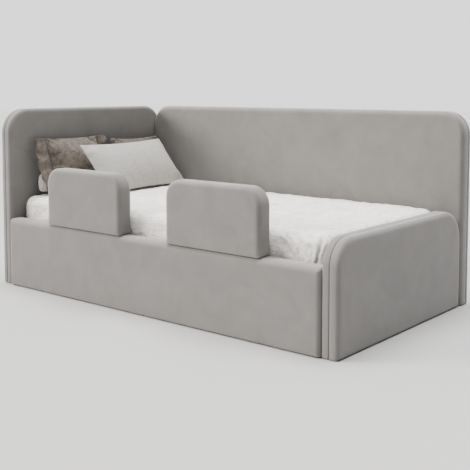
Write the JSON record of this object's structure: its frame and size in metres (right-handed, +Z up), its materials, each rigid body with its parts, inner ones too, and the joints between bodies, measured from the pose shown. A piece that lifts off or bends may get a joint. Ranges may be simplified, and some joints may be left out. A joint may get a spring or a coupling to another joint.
{
  "type": "toddler bed",
  "caption": "Upholstered corner toddler bed with high headboard and side backrest, low footboard, two padded lift-off guards and a lift-up slatted base over a storage box.",
  "frame": {"origin": "on the floor, under the middle of the whole bed", "axes": "+X from the headboard to the footboard, +Y from the open front to the backrest, +Z up"},
  "size_m": [1.736, 0.965, 0.763],
  "materials": {
    "velvet": "matte",
    "bedding": "matte",
    "brown_plush": "matte",
    "grey_weave": "matte",
    "foam": "matte",
    "webbing": "matte",
    "board": "satin",
    "birch": "satin",
    "lining": "satin",
    "black_steel": "satin",
    "zinc": "satin",
    "chrome_rod": "polished",
    "black_plastic": "matte"
  },
  "bodies": {
    "box": {"backrest_front_board": "board", "backrest_front_cover": "velvet", "backrest_rear_board": "board", "backrest_rear_cover": "velvet", "corner_angles": "zinc", "fixed_pivot_pins": "zinc", "floor_battens": "board", "floor_glides": "black_plastic", "foot_ledger": "board", "footboard_inner_board": "board", "footboard_inner_cover": "velvet", "footboard_outer_board": "board", "footboard_outer_cover": "velvet", "frame_screws": "zinc", "front_hinge_plate": "black_steel", "guard_sockets": "zinc", "head_ledger": "board", "headboard_inner_board": "board", "headboard_inner_cover": "velvet", "headboard_outer_board": "board", "headboard_outer_cover": "velvet", "panel_bolts": "zinc", "rail_cover": "velvet", "rail_front_board": "board", "rail_rear_board": "board", "rail_spacer_blocks": "board", "rail_top_board": "board", "rear_hinge_plate": "black_steel", "side_board": "board", "storage_floor_1": "lining", "storage_floor_2": "lining"},
    "guard_1": {"guard_1_board": "board", "guard_1_cover": "velvet", "guard_1_legs": "zinc", "guard_1_screws": "zinc"},
    "guard_2": {"guard_2_board": "board", "guard_2_cover": "velvet", "guard_2_legs": "zinc", "guard_2_screws": "zinc"},
    "lift_arms": {"front_lift_arm": "black_steel", "rear_lift_arm": "black_steel"},
    "guide_links": {"front_guide_link": "black_steel", "rear_guide_link": "black_steel"},
    "strut_cylinders": {"front_strut_cylinder": "black_steel", "rear_strut_cylinder": "black_steel"},
    "strut_rods": {"front_strut_rod": "chrome_rod", "rear_strut_rod": "chrome_rod"},
    "lift_base": {"base_frame": "black_steel", "slats": "birch", "slat_holders": "black_plastic", "front_base_plate": "black_steel", "rear_base_plate": "black_steel", "moving_pivot_pins": "zinc", "pull_strap": "webbing", "mattress": "foam", "bed_cover": "bedding"},
    "pillows": {"brown_pillow_1": "brown_plush", "brown_pillow_2": "brown_plush", "white_pillow": "bedding", "grey_pillow": "grey_weave"}
  },
  "joints": [
    {"name": "arm_lift", "type": "hinge", "parent": "box", "child": "lift_arms", "pos_m": [-0.4064, -0.01145, 0.12], "axis": [0, 1, 0], "range_deg": [0, 70]},
    {"name": "base_tilt", "type": "hinge", "parent": "lift_arms", "child": "lift_base", "pos_m": [-0.63298, -0.01145, 0.22565], "axis": [0, -1, 0], "range_deg": [0, 115]},
    {"name": "link_swing", "type": "hinge", "parent": "box", "child": "guide_links", "pos_m": [-0.3541, -0.01145, 0.0356], "axis": [0, 1, 0], "range_deg": [0, 60.33]},
    {"name": "strut_swing", "type": "hinge", "parent": "box", "child": "strut_cylinders", "pos_m": [-0.5464, -0.01145, 0.08], "axis": [0, 1, 0], "range_deg": [0, 67.7]},
    {"name": "strut_extend", "type": "slide", "parent": "strut_cylinders", "child": "strut_rods", "axis": [-0.6775, 0, 0.7355], "range_m": [0, 0.07566]},
    {"name": "pillow_shift", "type": "slide", "parent": "lift_base", "child": "pillows", "axis": [1, 0, 0], "range_m": [0, 0.06]},
    {"name": "guard_1_lift", "type": "slide", "parent": "box", "child": "guard_1", "axis": [0, 0, 1], "range_m": [0, 0.15]},
    {"name": "guard_2_lift", "type": "slide", "parent": "box", "child": "guard_2", "axis": [0, 0, 1], "range_m": [0, 0.15]}
  ],
  "couplings": [
    {"joint": "arm_lift", "follows": "base_tilt", "ratio": 0.6087},
    {"joint": "link_swing", "follows": "base_tilt", "ratio": 0.52458},
    {"joint": "strut_swing", "follows": "base_tilt", "ratio": 0.58865},
    {"joint": "strut_extend", "follows": "base_tilt", "m_per_rad": 0.037696},
    {"joint": "pillow_shift", "follows": "base_tilt", "m_per_rad": 0.029893}
  ]
}
